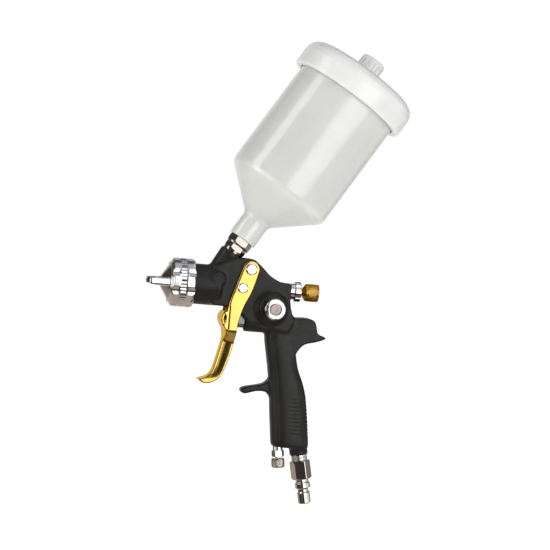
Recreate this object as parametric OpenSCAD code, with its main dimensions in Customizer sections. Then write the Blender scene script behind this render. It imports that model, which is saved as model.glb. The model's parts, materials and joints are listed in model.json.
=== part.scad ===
// Gravity-feed HVLP spray gun: a forged pistol body with a 600 ml cup on an inclined neck.
// Everything is drawn round the spray axis, which runs along X with the nose towards -X and the
// near side of the gun towards -Y. The last step moves the origin to the nose of the air plug.

/* [Head] */
// Radius of the round barrel behind the air cap ring
barrel_r = 15.8; // [15.4:0.2:15.8]
// Outer radius of the air cap ring
ring_r = 19; // [18.6:0.2:20]
// Distance between the inner ends of the two air horns
horn_gap = 24; // [22:0.5:24.5]
// Radius of the fluid nozzle's orifice
orifice_r = 0.7; // [0.5:0.1:1]

/* [Cup] */
// Angle of the cup's axis back from the vertical
cup_tilt = 32; // [30:1:34]
// Outer radius of the cup
cup_r = 43; // [42:0.5:43.5]
// Wall of the cup and the lid
cup_wall = 2; // [1.8:0.1:2.2]
// Distance along the cup's axis from the spray axis to the rim
cup_rim = 198; // [190:1:205]

/* [Trigger] */
// Height of the trigger's pivot above the spray axis
pivot_z = 15; // [15:0.5:16]
// Thickness of the trigger's plate
plate_t = 2.2; // [2:0.1:2.3]
// Half the width of the finger channel
channel_y = 9; // [8.8:0.1:9.2]

/* [Handle] */
// Half the thickness of the handle
handle_y = 12; // [11:0.5:13]
// Angle of the air plug back from the vertical
inlet_tilt = 12; // [11:1:13]
// Radius of the air plug's nose
plug_r = 5; // [4.8:0.1:5.2]
// Width of the air plug's hexagon across its flats
plug_hex = 14; // [13:0.5:15]

/* [Hidden] */
$fn = 64;

black = [0.10, 0.10, 0.11];
chrome = [0.80, 0.80, 0.82];
gold = [0.86, 0.66, 0.20];
steel = [0.62, 0.62, 0.60];
brass = [0.72, 0.58, 0.32];
gunmetal = [0.28, 0.28, 0.30];
milky = [0.90, 0.91, 0.88];
rubber = [0.06, 0.06, 0.06];
ptfe = [0.95, 0.95, 0.93];

// Clearance between a moving part and its guide, and the hair gap that keeps seated faces apart
run = 0.1;
seat = 0.02;

// Points on the spray axis, from nose to tail
horn_tip_x = -73.2;
tip_x = -63.9;
cap_face_x = -63;
ring_front_x = -57;
clip_x = -51.7;
baffle_x = -49.2;
front_x = -47.6;
ring_back_x = -37.6;
nozzle_end_x = -36.4;
feed_x = -25.7;
pin_x = -0.5;
rear_x = 38.2;
spring_back_x = 31;
knob_x = 48.6;
knob_end_x = 61.3;

// Side arms of the trigger, outside the flat of the body
flat_y = 12.2;
arm_y = 12.9;
arm_out_y = arm_y + plate_t;
pivot_x = 5;
pivot_r = 2.9;

// Bores of the body
feed_bore_r = 3;
spring_bore_r = 4.8;
nozzle_bore_r = 6;
socket_r = 7.2;
valve_z = -25;
valve_bore_r = 5.5;
valve_face_x = 4.6;
fan_x = 24;
fan_z = -14;
fan_bore_r = 5;

// Distances along the cup's axis from the spray axis
boss_top = 31;
socket_low = 20;
nut_low = 37.6;
neck_low = 44;
neck_top = 63;
shoulder = 90;
lid_low = 181;
lid_top = 204.5;
neck_r = 11.25;
stud_r = 7;
lid_r = 49.5;

// Where the plug's axis and the regulator's axis leave the handle
inlet_foot = [57.4, 0, -127.4];
plug_nose = 37.8;
plug_hex_low = 4.3;
reg_foot = [40.2, 0, -123.5];
reg_tilt = 6;

// The nose of the plug, on its axis: the origin of the finished part
origin = inlet_foot + plug_nose * [sin(inlet_tilt), 0, -cos(inlet_tilt)];

module place() { translate(-origin) children(); }
module cup_axis() { translate([feed_x, 0, 0]) rotate([0, cup_tilt, 0]) children(); }
module inlet_axis() { translate(inlet_foot) rotate([0, 180 - inlet_tilt, 0]) children(); }
module reg_axis() { translate(reg_foot) rotate([0, 180 - reg_tilt, 0]) children(); }
module valve_axis() { translate([0, 0, valve_z]) children(); }
// Local +Z of the fan valve points out of the near side of the gun
module fan_axis() { translate([fan_x, 0, fan_z]) rotate([90, 0, 0]) children(); }

module rod(x0, x1, r) { translate([x0, 0, 0]) rotate([0, 90, 0]) cylinder(h = x1 - x0, r = r); }
module cross_rod(x, z, y0, y1, r) { translate([x, y1, z]) rotate([90, 0, 0]) cylinder(h = y1 - y0, r = r); }
// A round part on the spray axis, from a profile of [x, radius] points
module turned(profile) {
    rotate([0, 90, 0]) rotate([0, 0, 180]) rotate_extrude() polygon([for (p = profile) [p[1], p[0]]]);
}
// A side outline of [x, z] points, extruded from y0 to y1
module side(y0, y1) { translate([0, y1, 0]) rotate([90, 0, 0]) linear_extrude(height = y1 - y0) children(); }
// A tube along local +Z
module tube(z0, z1, r_out, r_in) {
    translate([0, 0, z0]) difference() {
        cylinder(h = z1 - z0, r = r_out);
        translate([0, 0, -1]) cylinder(h = z1 - z0 + 2, r = r_in);
    }
}
module hex(z0, z1, across) { translate([0, 0, z0]) cylinder(h = z1 - z0, r = across / 2 / cos(30), $fn = 6); }

// ---- Curves -------------------------------------------------------------------------------

function blend(a, b, c, d, u) =
    0.5 * (2*b + (c - a)*u + (2*a - 5*b + 4*c - d)*u*u + (3*b - a - 3*c + d)*u*u*u);
// A smooth value through a column of stations at position s, where s counts stations
function through(rows, s) =
    let (n = len(rows) - 1, i = min(floor(s), n - 1), u = s - i)
    blend(rows[max(i - 1, 0)], rows[i], rows[i + 1], rows[min(i + 2, n)], u);
// A smooth line through points, with `fine` steps between each pair
fine = 3;
function curve(points) = [for (i = [0:(len(points) - 1) * fine]) through(points, i / fine)];
function power(v, e) = sign(v) * pow(abs(v), e);

// A helical spring along X, swept as one polyhedron
module spring(x0, x1, mean_r, wire_r, turns) {
    per_turn = 14;
    sides = 6;
    rings = turns * per_turn;
    rise = (x1 - x0 - 2 * wire_r) / rings;
    points = [for (i = [0:rings]) for (k = [0:sides - 1])
        let (a = 360 * i / per_turn, b = 360 * k / sides, r = mean_r + wire_r * cos(b))
        [x0 + wire_r + i * rise + wire_r * sin(b), r * cos(a), r * sin(a)]];
    walls = [for (i = [0:rings - 1]) for (k = [0:sides - 1])
        let (n = (k + 1) % sides)
        [i * sides + k, i * sides + n, (i + 1) * sides + n, (i + 1) * sides + k]];
    caps = [[for (k = [sides - 1:-1:0]) k], [for (k = [0:sides - 1]) rings * sides + k]];
    polyhedron(points = points, faces = concat(walls, caps), convexity = 6);
}

// ---- Body ---------------------------------------------------------------------------------

// Stations of the handle, top to bottom: [z, front x, rear x, half thickness]
grip = [
    [-24, 22.5, 40, 10.5], [-36, 21.9, 45, 11.2], [-48, 24, 47.6, 11.6], [-60, 26.4, 50.4, 11.8],
    [-72, 28.3, 55.6, 12], [-84, 29.9, 59, 12], [-96, 31.2, 61, 12], [-108, 32.7, 62.6, 12],
    [-119, 34.1, 63.7, 11.8], [-122, 35.4, 63, 10.6]
];

module grip_loft() {
    steps = 27;
    sides = 32;
    corner = 2 / 2.7;
    ring = function(s) let (
        z = through([for (g = grip) g[0]], s),
        front = through([for (g = grip) g[1]], s),
        rear = through([for (g = grip) g[2]], s),
        half = through([for (g = grip) g[3]], s) * handle_y / 12)
        [for (k = [0:sides - 1]) let (a = 360 * k / sides)
            [
                (front + rear) / 2 + (rear - front) / 2 * power(cos(a), corner),
                half * power(sin(a), corner),
                z
            ]];
    points = [for (i = [0:steps]) each ring(i * (len(grip) - 1) / steps)];
    walls = [for (i = [0:steps - 1]) for (k = [0:sides - 1])
        let (n = (k + 1) % sides, a = i * sides, b = a + sides)
        each [[a + k, b + n, b + k], [a + k, a + n, b + n]]];
    caps = [[for (k = [sides - 1:-1:0]) k], [for (k = [0:sides - 1]) steps * sides + k]];
    polyhedron(points = points, faces = concat(walls, caps), convexity = 4);
}

// The flat-sided middle of the body, from the barrel to the rear boss, in side view
module web_outline() {
    polygon(concat(
        [[-24, 15], [-24, -14.8], [-12, -15.6], [-5, -17.4], [0, -20], [6, -26], [24, -30], [38, -32]],
        [[42, -24], [40.2, -16], [39, -12], [rear_x, -8], [rear_x, 5.8]],
        curve([[30, 6.6], [24.3, 9.1], [19.5, 12.2], [15, 16.6], [10, 20.5], [5, 22.8], [-1, 23], [-10, 22]])
    ));
    translate([4.6, pivot_z]) circle(r = 8);
}

// The hump that rests on the web of the hand, and the beak behind it
module hump_outline() {
    polygon(concat(
        [[34, -46], [34, -14]],
        curve([
            [39.6, -14.6], [41.4, -18.2], [44.6, -20.3], [50, -19.9], [55.8, -20], [59.7, -22.2],
            [61.3, -26.6], [62.6, -31.2], [68.4, -33.4], [68.2, -35.2], [61, -38], [53, -40.2],
            [48.4, -45], [45, -52]
        ])
    ));
}

// The finger rest under the trigger
module rest_outline() {
    polygon(curve([
        [31, -66], [27.3, -70], [24, -73.2], [17, -75.2], [9.6, -76.8], [6.2, -78.8], [6.8, -81.2],
        [10, -82.2], [18, -79.8], [24.8, -79.6], [28.8, -82], [31.5, -87]
    ]));
}

module duct(from, to, r) {
    d = to - from;
    translate(from) rotate([0, acos(d[2] / norm(d)), atan2(d[1], d[0])]) cylinder(h = norm(d), r = r);
}

module body_outside() {
    rod(ring_back_x, -17, barrel_r);
    rod(front_x, ring_back_x + 1, barrel_r - run);
    side(-flat_y, flat_y) web_outline();
    cup_axis() cylinder(h = boss_top, r1 = 8, r2 = 9.6);
    rod(28, rear_x, 6.3);
    valve_axis() rod(valve_face_x, 30, 9);
    fan_axis() cylinder(h = 15, r = 12);
    side(-10.4, 10.4) hump_outline();
    side(-6, 6) rest_outline();
    grip_loft();
    inlet_axis() translate([0, 0, -16]) cylinder(h = 16, r = 7.2);
    // Round badge seat on the near side of the barrel
    cross_rod(-19.9, 5.7, -barrel_r + 0.3, -11, 5.2);
}

module body_bores() {
    // Nozzle thread, annular air chamber, paint passage, packing, needle spring
    rod(front_x - 1, nozzle_end_x + 1, nozzle_bore_r);
    translate([front_x - 1, 0, 0]) rotate([0, 90, 0]) tube(0, 9, 13.4, 8.6);
    rod(nozzle_end_x, -18, feed_bore_r);
    rod(-18.5, -12, 3.3);
    rod(-12.5, rear_x + 1, spring_bore_r);
    // Windows for the lift pins
    translate([pin_x - 2.2, -flat_y - 1, -2.6]) cube([8.4, 2 * flat_y + 2, 5]);
    // Paint inlet from the cup
    cup_axis() cylinder(h = 20, r = 4.6);
    cup_axis() translate([0, 0, socket_low]) cylinder(h = 12, r = socket_r);
    cup_axis() translate([0, 0, boss_top]) cylinder(h = 12, r = 12.5);
    // Trigger pivot
    cross_rod(pivot_x, pivot_z, -20, 20, pivot_r + seat);
    // Air valve, fan valve and the ducts between them and the head
    valve_axis() rod(valve_face_x - 1, 38.5, valve_bore_r);
    valve_axis() rod(-6, valve_face_x, 6.7);
    fan_axis() translate([0, 0, -2]) cylinder(h = 18, r = fan_bore_r);
    duct([20, 0, -20], [8, 0, -13], 1.8);
    duct([9, 0, -13], [-42, 0, -10], 1.8);
    duct([24, -8, -12], [-42, -8, -8.2], 1.8);
    duct([24, -4, -12], [26, -2, -22], 2);
    // Air passage up the handle, and the regulator that crosses it
    duct([55.2, 0, -117], [37, 0, -27], 3.6);
    inlet_axis() translate([0, 0, -12]) cylinder(h = 14, r = 5.6);
    reg_axis() translate([0, 0, -13]) cylinder(h = 16, r = 4);
    duct([39.2, 0, -114], [50, 0, -100], 2.4);
}

module gun_body() {
    color(black) difference() {
        body_outside();
        body_bores();
    }
}

// ---- Fluid head ---------------------------------------------------------------------------

module air_baffle() {
    color(steel) difference() {
        rod(baffle_x, front_x - seat, 14.4);
        rod(baffle_x - 1, front_x + 1, 6.2);
        for (i = [0:7]) rotate([45 * i, 0, 0]) translate([0, 0, 10.8]) rod(baffle_x - 1, front_x + 1, 1.2);
    }
}

module fluid_nozzle() {
    color(steel) difference() {
        turned([
            [tip_x, 0], [tip_x, 1.9], [-60.6, 2.2], [-58.4, 4.4], [-54.6, 4.9], [-54.6, 7.2], [-51.6, 7.2],
            [-51.6, 11], [baffle_x - seat, 11], [baffle_x - seat, 5.9], [nozzle_end_x, 5.9], [nozzle_end_x, 0]
        ]);
        rod(tip_x - 1, -58, orifice_r);
        turned([[-61.6, 0], [-61.6, 0.9], [-57, 2.9], [nozzle_end_x + 1, 2.9], [nozzle_end_x + 1, 0]]);
    }
}

module nozzle_seal() {
    color(ptfe) translate([nozzle_end_x + 0.05, 0, 0]) rotate([0, 90, 0]) tube(0, 0.9, 5.6, 3.2);
}
module needle_packing() {
    color(ptfe) translate([-17.9, 0, 0]) rotate([0, 90, 0]) tube(0, 5.8, 3.2, 1.6);
}

module packing_nut() {
    color(brass) difference() {
        rod(-12, -5, spring_bore_r - seat);
        rod(-13, -4, 1.7);
        translate([-6.5, -6, -0.6]) cube([3, 12, 1.2]);
    }
}

module fluid_needle() {
    color(steel) turned([
        [tip_x + 0.6, 0], [tip_x + 0.6, 0.35], [-61, 0.6], [-56.5, 1.5], [22, 1.5], [22, 0]
    ]);
}

module needle_collar() {
    color(brass) difference() {
        rod(1.05, 8, spring_bore_r - run);
        rod(0, 9, 1.5 + seat);
    }
}

module needle_spring() { color(steel) spring(8.1, spring_back_x - 0.1, 3.6, 0.5, 8); }

module adjuster_housing() {
    color(chrome) difference() {
        union() {
            rod(35.5, rear_x + 1, spring_bore_r - seat);
            turned([[rear_x + seat, 0], [rear_x + seat, 5.6], [39, 6.3], [42.2, 6.3], [42.2, 0]]);
            turned([[42.1, 0], [42.1, 7.2], [42.7, 8], [46.6, 8], [47.2, 7.4], [47.2, 0]]);
        }
        rod(30, 50, 3);
        for (i = [0:5]) rotate([60 * i, 0, 0]) translate([0, 0, 9.2]) rod(42, 50, 1.9);
    }
}

module fluid_spindle() {
    color(gold) {
        rod(spring_back_x, 33.2, spring_bore_r - run);
        rod(33, 46.6, 3 - run);
        rod(46.5, 57, 2);
    }
}

module fluid_knob() {
    color(gold) difference() {
        turned([
            [knob_x, 0], [knob_x, 3.2], [51, 6.6], [51.6, 6.9],
            [60.8, 6.9], [knob_end_x, 6.4], [knob_end_x, 0]
        ]);
        rod(knob_x - 1, 57.4, 2 + run);
        for (i = [0:23]) rotate([15 * i, 0, 0]) translate([0, 0, 7.2]) rod(53, 60, 0.55);
    }
}

// ---- Air cap and its ring -----------------------------------------------------------------

module air_cap_ring() {
    flutes = 8;
    color(chrome) difference() {
        turned([
            [ring_front_x, 15.1], [ring_front_x, 15.8], [ring_front_x + 2, ring_r - 0.8],
            [ring_front_x + 2.8, ring_r - 0.5], [ring_front_x + 7, ring_r],
            [ring_back_x - 2.4, ring_r], [ring_back_x - 0.9, ring_r - 0.5],
            [ring_back_x - run, ring_r - 1.4], [ring_back_x - run, barrel_r + 0.3],
            [ring_front_x + 2, barrel_r + 0.5], [ring_front_x + 2, 15.1]
        ]);
        for (i = [0:flutes - 1]) rotate([360 * i / flutes + 18, 0, 0])
            for (x = [[ring_front_x - 1, ring_front_x + 6.4], [ring_back_x - 5.6, ring_back_x + 1]])
                translate([0, -ring_r - 3.2, 0]) rod(x[0], x[1], 4.8);
    }
}

// One air horn, on the far side of the spray axis, seen from above and then from the side
module horn() {
    inner = horn_gap / 2;
    intersection() {
        translate([0, 0, -4]) linear_extrude(height = 8) polygon([
            [cap_face_x + 3.4, 6.4], [ring_front_x + 1.2, 14.2], [ring_front_x - 1, 14.4],
            [horn_tip_x + 1, inner + 3.6], [horn_tip_x, inner + 2.8], [horn_tip_x, inner + 0.8],
            [horn_tip_x + 0.6, inner + 0.1], [cap_face_x - 2, inner - 2.8], [cap_face_x + 1, 6.4]
        ]);
        side(0, 20) polygon([
            [ring_front_x + 2, -3.6], [horn_tip_x + 1, -2.7], [horn_tip_x, -1.9],
            [horn_tip_x, 1.9], [horn_tip_x + 1, 2.7], [ring_front_x + 2, 3.6]
        ]);
    }
}

module air_cap() {
    flange_x = ring_front_x + 2 + run;
    color(chrome) difference() {
        union() {
            turned([
                [cap_face_x, 0], [cap_face_x, 4.6], [cap_face_x + 0.7, 5.8], [ring_front_x + 0.2, 14.5],
                [ring_front_x + 1, 14.9], [flange_x, 14.9], [flange_x, barrel_r + 0.2],
                [clip_x - run, barrel_r + 0.2], [clip_x - run, 14.5], [baffle_x - seat, 14.5],
                [baffle_x - seat, 12.4], [-53.6, 12.4], [-60.3, 5], [-60.3, 0]
            ]);
            for (m = [0, 180]) rotate([m, 0, 0]) horn();
        }
        rod(cap_face_x - 1, -60, 2.9);
        for (m = [0, 180]) rotate([m, 0, 0]) {
            for (z = [-3.4, 3.4]) translate([0, 3.6, z]) rod(cap_face_x - 1, -60, 0.5);
            duct([horn_tip_x + 2.6, horn_gap / 2 + 2, 0], [cap_face_x - 3, 0, 0], 0.7);
            duct([horn_tip_x + 2.6, horn_gap / 2 + 2, 0], [-55, 11, 0], 1);
        }
    }
}

// Split spring wire that holds the cap in its ring
module cap_clip() {
    color(steel) rotate([0, 90, 0]) translate([0, 0, clip_x]) difference() {
        tube(0, 0.9, barrel_r + 0.1, 14.8);
        translate([-1.5, 0, -1]) cube([3, 20, 3]);
    }
}

// ---- Trigger ------------------------------------------------------------------------------

module arm_outline() {
    difference() {
        union() {
            translate([pivot_x, pivot_z]) circle(r = 6.5);
            polygon(concat(
                curve([[-1.2, 17], [-6.4, 0], [-9.2, -8.6], [-10.7, -16], [-11, -21], [-11, -31]]),
                [[-9, -33.2]],
                curve([[-2.2, -33.2], [-2, -29], [-0.7, -22.8], [2.1, -13.5], [7, -2.6], [11.3, 13.5]])
            ));
        }
        translate([pivot_x, pivot_z]) circle(r = pivot_r + run);
    }
}

// Front face of the trigger from top to bottom, as [x, z]
face = curve([
    [-12.6, -19], [-14.6, -22.5], [-14.9, -25.5], [-13.6, -29.5], [-11.4, -33], [-10.9, -37.5],
    [-12.2, -44], [-14.2, -53], [-16.4, -62.5], [-18.2, -67.2], [-22, -71], [-28.4, -73.4]
]);
// The same face moved in by the plate's thickness
inside = curve([
    [-10.2, -19], [-12.3, -23], [-12.6, -25.3], [-11.5, -28.6], [-9.2, -32.4], [-8.6, -37.5],
    [-10, -44.2], [-12, -53.4], [-14.2, -63], [-16.2, -68.6], [-21, -73], [-28, -74.4]
]);
// Rear edge of the channel's side flanges
heel = curve([
    [-25, -76], [-20, -76], [-14, -73.2], [-10.4, -69.4], [-8.6, -65], [-6.6, -58.7],
    [-4.7, -52], [-3.3, -45.3], [-2.6, -39.4], [-2.2, -33]
]);
// The shoulder, where the wide bracket narrows to the channel, is the fifth point of the face
shoulder_at = 4 * fine;

function part_of(list, a, b) = [for (i = [a:b]) list[i]];

module trigger() {
    last = len(face) - 1;
    color(gold) difference() {
        union() {
            for (m = [-1, 1]) side(m > 0 ? arm_y : -arm_out_y, m > 0 ? arm_out_y : -arm_y) arm_outline();
            side(-arm_out_y, arm_out_y) polygon(concat(
                part_of(face, 0, shoulder_at),
                [[-2.2, -33], [-2.2, -31], [-8, -20], [-10.2, -19]]
            ));
            side(-channel_y, channel_y) polygon(concat(part_of(face, shoulder_at, last), heel));
        }
        // Hollow between the arms
        side(-arm_y, arm_y) polygon(concat(
            part_of(inside, 0, 3 * fine),
            [[-10.4, -30.8], [5, -30.8], [5, -10], [-9, -10]]
        ));
        // Hollow of the finger channel
        side(-channel_y + plate_t, channel_y - plate_t) polygon(concat(
            part_of(inside, 3 * fine, 9 * fine),
            [[-12.6, -69], [-2, -66], [5, -50], [5, -29]]
        ));
        // Rounded front corners, above and below the shoulder
        for (m = [-1, 1]) {
            translate([-12.5, m * 16.3, -34]) rotate([0, 0, m * 45])
                translate([-3, -3, 0]) cube([4.4, 6, 20]);
            side(m > 0 ? arm_y - 0.2 : -arm_out_y - 1, m > 0 ? arm_out_y + 1 : -arm_y + 0.2)
                polygon([[-20, -19], [-12, -19], [-12, -34], [-20, -34]]);
        }
        for (m = [-1, 1]) cross_rod(pin_x, 0, m > 0 ? 10 : -20, m > 0 ? 20 : -10, 1.5 + seat);
    }
}

module trigger_stud() {
    color(chrome) difference() {
        union() {
            cross_rod(pivot_x, pivot_z, -arm_out_y - 0.4, arm_out_y + 0.1, pivot_r);
            translate([pivot_x, -arm_out_y - 0.1, pivot_z]) rotate([90, 0, 0]) rotate_extrude()
                polygon([[0, 0], [4.6, 0], [4.6, 0.9], [3.8, 1.5], [0, 1.8]]);
        }
        cross_rod(pivot_x, pivot_z, 4, 20, 1.5);
    }
}

module stud_screw() {
    color(chrome) difference() {
        union() {
            cross_rod(pivot_x, pivot_z, 5, arm_out_y + 0.3, 1.48);
            translate([pivot_x, arm_out_y + 0.15, pivot_z]) rotate([-90, 0, 0]) rotate_extrude()
                polygon([[0, 0], [4.6, 0], [4.6, 0.9], [3.8, 1.5], [0, 1.8]]);
        }
        translate([pivot_x - 5, arm_out_y + 1.2, pivot_z - 0.5]) cube([10, 3, 1]);
    }
}

module lift_pins() {
    color(chrome) for (m = [0, 180]) translate([pin_x, 0, 0]) rotate([0, 0, m]) rotate([90, 0, 0]) {
        translate([0, 0, 2.3]) cylinder(h = arm_out_y - 1.8, r = 1.5);
        translate([0, 0, arm_out_y + seat]) rotate_extrude()
            polygon([[0, 0], [4.1, 0], [4.1, 0.8], [3.4, 1.4], [0, 1.7]]);
    }
}

// ---- Air valve ----------------------------------------------------------------------------

module air_valve_nut() {
    color(gunmetal) valve_axis() difference() {
        union() {
            rod(valve_face_x - seat, 10, valve_bore_r - seat);
            rotate([0, 90, 0]) hex(-0.8, valve_face_x - seat, 11);
        }
        rod(-2, 12, 2 + run);
    }
}

module air_valve_seal() {
    color(rubber) valve_axis() rotate([0, 90, 0]) tube(10.1, 13, valve_bore_r - seat, 2.05);
}
module air_valve_seat() {
    color(brass) valve_axis() rotate([0, 90, 0]) tube(14.5, 18.5, valve_bore_r - seat, 3.2);
}
module air_valve_stem() {
    color(steel) valve_axis() turned([[-12.1, 0], [-12.1, 1.2], [-11.4, 2], [24.5, 2], [24.5, 0]]);
}
module air_valve_head() {
    color(brass) valve_axis() difference() {
        turned([[18.6, 0], [18.6, 3.4], [19.6, 4.6], [22.6, 4.6], [22.6, 3], [23.4, 3], [23.4, 0]]);
        rod(17, 25, 2 + seat);
    }
}
module air_valve_spring() { color(steel) valve_axis() spring(22.7, 38.4, 3.7, 0.5, 6); }

// ---- Fan valve ----------------------------------------------------------------------------

module fan_valve_housing() {
    color(gunmetal) fan_axis() difference() {
        union() {
            translate([0, 0, 6]) cylinder(h = 10, r = fan_bore_r - seat);
            rotate_extrude() polygon([
                [0, 15 + seat], [10.6, 15 + seat], [10.6, 17.6], [9.6, 19], [7.4, 19], [7.4, 18.2], [0, 18.2]
            ]);
        }
        translate([0, 0, -1]) cylinder(h = 30, r = 2.6);
    }
}
module fan_valve_seal() { color(rubber) fan_axis() tube(4.4, 5.9, fan_bore_r - 0.1, 2.55); }
module fan_valve_spindle() {
    color(steel) fan_axis() {
        cylinder(h = 27.5, r = 2.5);
        translate([0, 0, 3.5]) mirror([0, 0, 1]) cylinder(h = 3.4, r1 = 3.6, r2 = 1.2);
    }
}
module fan_knob() {
    color(chrome) fan_axis() difference() {
        rotate_extrude() polygon([
            [0, 21], [7, 21], [7.8, 21.8], [8.2, 28.9], [7.5, 29.8], [5, 30], [4.7, 28], [0, 28]
        ]);
        translate([0, 0, 20]) cylinder(h = 20, r = 2.5 + run);
        for (i = [0:11]) rotate([0, 0, 30 * i]) translate([8.9, 0, 22.4]) cylinder(h = 5, r = 1.1);
    }
}
module fan_knob_screw() {
    color(steel) fan_axis() difference() {
        translate([0, 0, 28 + run]) cylinder(h = 1.1, r = 4.4);
        translate([0, 0, 28.5]) cylinder(h = 2, r = 1.5, $fn = 6);
    }
}

// ---- Regulator and air plug ---------------------------------------------------------------

module regulator_gland() {
    color(chrome) reg_axis() difference() {
        union() {
            translate([0, 0, -8]) cylinder(h = 10, r = 4 - seat);
            hex(1.4, 6.4, 8.6);
        }
        translate([0, 0, -10]) cylinder(h = 20, r = 1.9);
    }
}
module regulator_seal() { color(rubber) reg_axis() tube(-8.9, -8.1, 3.9, 1.85); }
module regulator_spindle() { color(steel) reg_axis() translate([0, 0, -9.5]) cylinder(h = 23, r = 1.8); }
module regulator_knob() {
    color(chrome) reg_axis() difference() {
        rotate_extrude() polygon([[0, 7.6], [4.6, 7.6], [5.2, 8.2], [5.2, 14], [4.4, 15], [0, 15]]);
        translate([0, 0, 7]) cylinder(h = 7, r = 1.8 + run);
        for (i = [0:17]) rotate([0, 0, 20 * i]) translate([5.5, 0, 8.8]) cylinder(h = 4.6, r = 0.5);
    }
}
module inlet_collar() { color(chrome) inlet_axis() tube(seat, plug_hex_low - run, 6.2, 5.6); }

module inlet_plug() {
    hex_top = 19.2;
    // How far round the plug stops when it is screwed home
    hex_turn = 10;
    corner_r = plug_hex / 2 / cos(30);
    groove_r = plug_r - 0.7;
    color(chrome) inlet_axis() rotate([0, 0, hex_turn]) difference() {
        union() {
            translate([0, 0, -9]) cylinder(h = 14, r = 5.5);
            intersection() {
                hex(plug_hex_low, hex_top, plug_hex);
                rotate_extrude() polygon([
                    [0, plug_hex_low], [corner_r - 0.9, plug_hex_low], [corner_r, 5.6],
                    [corner_r, 17.8], [corner_r - 1.2, hex_top], [0, hex_top]
                ]);
            }
            rotate_extrude() polygon([
                [0, 18], [5, 18], [5, 21.4], [6, 22.2], [6, 26], [groove_r, 27], [groove_r, 29],
                [plug_r, 30], [plug_r, plug_nose], [plug_r - 0.8, plug_nose + 0.8], [0, plug_nose + 0.8]
            ]);
        }
        translate([0, 0, -10]) cylinder(h = 60, r = 3);
    }
}

// ---- Cup ----------------------------------------------------------------------------------

module cup_connector() {
    hex_low = 33.4;
    color(chrome) cup_axis() difference() {
        union() {
            translate([0, 0, socket_low + 0.5]) cylinder(h = 12, r = socket_r - run);
            translate([0, 0, boss_top + run]) cylinder(h = hex_low - boss_top, r = 8.6);
            hex(hex_low, nut_low - 0.1, 15.4);
            translate([0, 0, hex_low]) cylinder(h = 56 - hex_low, r = stud_r);
        }
        translate([0, 0, 10]) cylinder(h = 60, r = 5.4);
    }
}
module cup_locknut() {
    color(chrome) cup_axis() difference() {
        union() {
            translate([0, 0, nut_low]) cylinder(h = 1.4, r = 9.7);
            hex(nut_low + 1.2, neck_low - 0.1, 17);
        }
        translate([0, 0, 30]) cylinder(h = 20, r = stud_r + 0.05);
    }
}

module cup_body() {
    inner = cup_r - cup_wall;
    color(milky) cup_axis() rotate_extrude() polygon([
        [stud_r + 0.05, neck_low], [neck_r - 0.4, neck_low], [neck_r, neck_low + 0.8],
        [neck_r, neck_top - 1], [neck_r + 1, neck_top + 1],
        [cup_r - 3.4, shoulder - 2], [cup_r - 1, shoulder + 0.4], [cup_r, shoulder + 3.4], [cup_r, 184],
        for (t = [185:3:194]) each [
            [cup_r, t], [cup_r + 0.8, t + 1], [cup_r + 0.8, t + 2], [cup_r, t + 3]
        ],
        [cup_r, cup_rim], [inner, cup_rim], [inner, shoulder + 4.4],
        [inner - 2.4, shoulder + 1], [neck_r - 0.6, neck_top + 2.6], [9.2, 60],
        [9.2, 57.4], [stud_r + 0.05, 57.4]
    ]);
}
// Strainer that stands in the outlet of the cup
module cup_filter() {
    color(ptfe) cup_axis() rotate_extrude() polygon([
        [6, 57.5], [9.1, 57.5], [9.1, 59.4], [7.2, 59.4], [6.4, 69.5], [0, 69.5],
        [0, 68.7], [5.7, 68.7], [6.4, 59]
    ]);
}

module cup_lid() {
    inner = cup_r + 1.2;
    color(milky) cup_axis() rotate_extrude() polygon([
        [inner, lid_low], [lid_r - 1.2, lid_low], [lid_r - 0.2, lid_low + 1],
        [lid_r, 194], [lid_r - 0.8, 198.4],
        [lid_r - 3, 202.4], [lid_r - 6, 204.2], [lid_r - 9, lid_top], [7.4, lid_top], [7.4, 211], [3.2, 211],
        [3.2, lid_top - cup_wall - 0.6], [lid_r - 8, 201.8], [inner, 200.4]
    ]);
}
module lid_gasket() { color(ptfe) cup_axis() tube(cup_rim + 0.1, 200.2, cup_r + 0.9, cup_r - 2.4); }
module vent_cap() {
    color(milky) cup_axis() rotate_extrude() polygon([
        [0, 219], [8.6, 219], [9.8, 218], [10.1, 216.6], [10.1, 207.4], [9.4, 206.8], [7.6, 206.8],
        [7.6, 214.8], [2.9, 214.8], [2.9, 203], [0, 203]
    ]);
}
module vent_seal() { color(rubber) cup_axis() tube(211.1, 212.4, 6.4, 3.1); }

// ---- Parts, in the finished frame ---------------------------------------------------------

place() gun_body();
place() air_baffle();
place() fluid_nozzle();
place() nozzle_seal();
place() needle_packing();
place() packing_nut();
place() adjuster_housing();
place() needle_spring();
place() fluid_needle();
place() needle_collar();
place() fluid_spindle();
place() fluid_knob();
place() air_cap_ring();
place() air_cap();
place() cap_clip();
place() trigger();
place() trigger_stud();
place() stud_screw();
place() lift_pins();
place() air_valve_nut();
place() air_valve_seal();
place() air_valve_seat();
place() air_valve_stem();
place() air_valve_head();
place() air_valve_spring();
place() fan_valve_housing();
place() fan_valve_seal();
place() fan_valve_spindle();
place() fan_knob();
place() fan_knob_screw();
place() regulator_gland();
place() regulator_seal();
place() regulator_spindle();
place() regulator_knob();
place() inlet_collar();
place() inlet_plug();
place() cup_connector();
place() cup_locknut();
place() cup_body();
place() cup_filter();
place() cup_lid();
place() lid_gasket();
place() vent_cap();
place() vent_seal();
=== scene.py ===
"""Gravity-feed HVLP spray gun: the looks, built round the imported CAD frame.

Lengths in the piece functions are millimetres in the design's own axes: the spray axis is X, with
the nose towards -X, and Z is up. `G` is where those axes start in the frame, in metres.
"""
import json
import math

import bmesh
import bpy
import numpy as np
from mathutils import Matrix, Vector


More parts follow.
